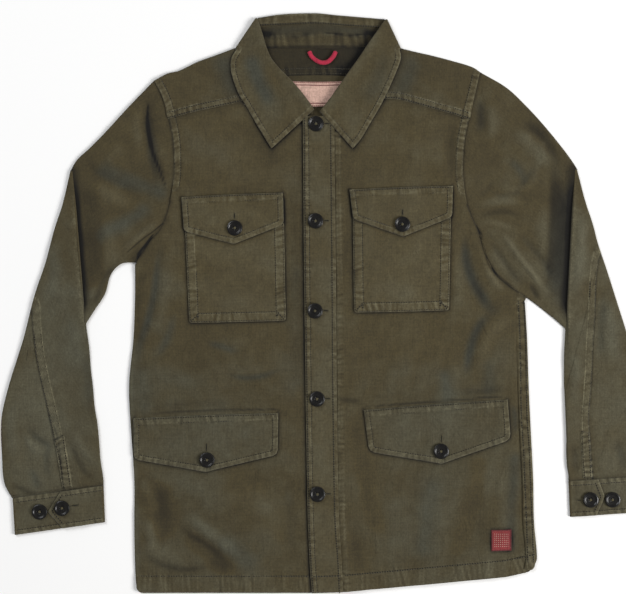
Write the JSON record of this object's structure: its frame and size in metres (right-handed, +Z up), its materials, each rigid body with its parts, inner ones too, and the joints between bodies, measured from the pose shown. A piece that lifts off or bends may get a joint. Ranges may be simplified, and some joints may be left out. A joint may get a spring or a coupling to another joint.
{
  "type": "military jacket",
  "caption": "Field jacket in cotton twill lying flat on its back, buttoned, with a turned-down collar, flapped chest and lower pockets, bent sleeves and tabbed cuffs.",
  "frame": {"origin": "on the floor under the middle of the chest, on the underside of the back panel", "axes": "+X to the wearer's left across the jacket, +Y from hem to collar, +Z up out of the front"},
  "size_m": [0.8832, 0.7709, 0.0108],
  "materials": {
    "twill": "washed cotton twill, matte",
    "button": "dark polished, four holes",
    "label": "woven label, matte",
    "red_cloth": "woven patch, matte",
    "red_cord": "round braided cord, matte"
  },
  "bodies": {
    "root": {"back": "twill", "yoke": "twill", "front_right": "twill", "front_left": "twill", "placket": "twill", "collar_stand": "twill", "collar_fall": "twill", "sleeve_top_right": "twill", "sleeve_under_right": "twill", "cuff_right": "twill", "sleeve_vent_right": "twill", "chest_pocket_right": "twill", "chest_flap_right": "twill", "lower_flap_right": "twill", "sleeve_top_left": "twill", "sleeve_under_left": "twill", "cuff_left": "twill", "sleeve_vent_left": "twill", "chest_pocket_left": "twill", "chest_flap_left": "twill", "lower_flap_left": "twill", "button_front_1": "button", "button_front_2": "button", "button_front_3": "button", "button_front_4": "button", "button_front_5": "button", "button_chest_right": "button", "button_chest_left": "button", "button_lower_right": "button", "button_lower_left": "button", "button_cuff_right_tab": "button", "button_cuff_right_spare": "button", "button_cuff_left_tab": "button", "button_cuff_left_spare": "button", "neck_label": "label", "hem_patch": "red_cloth", "hanger_loop": "red_cord"}
  },
  "joints": []
}
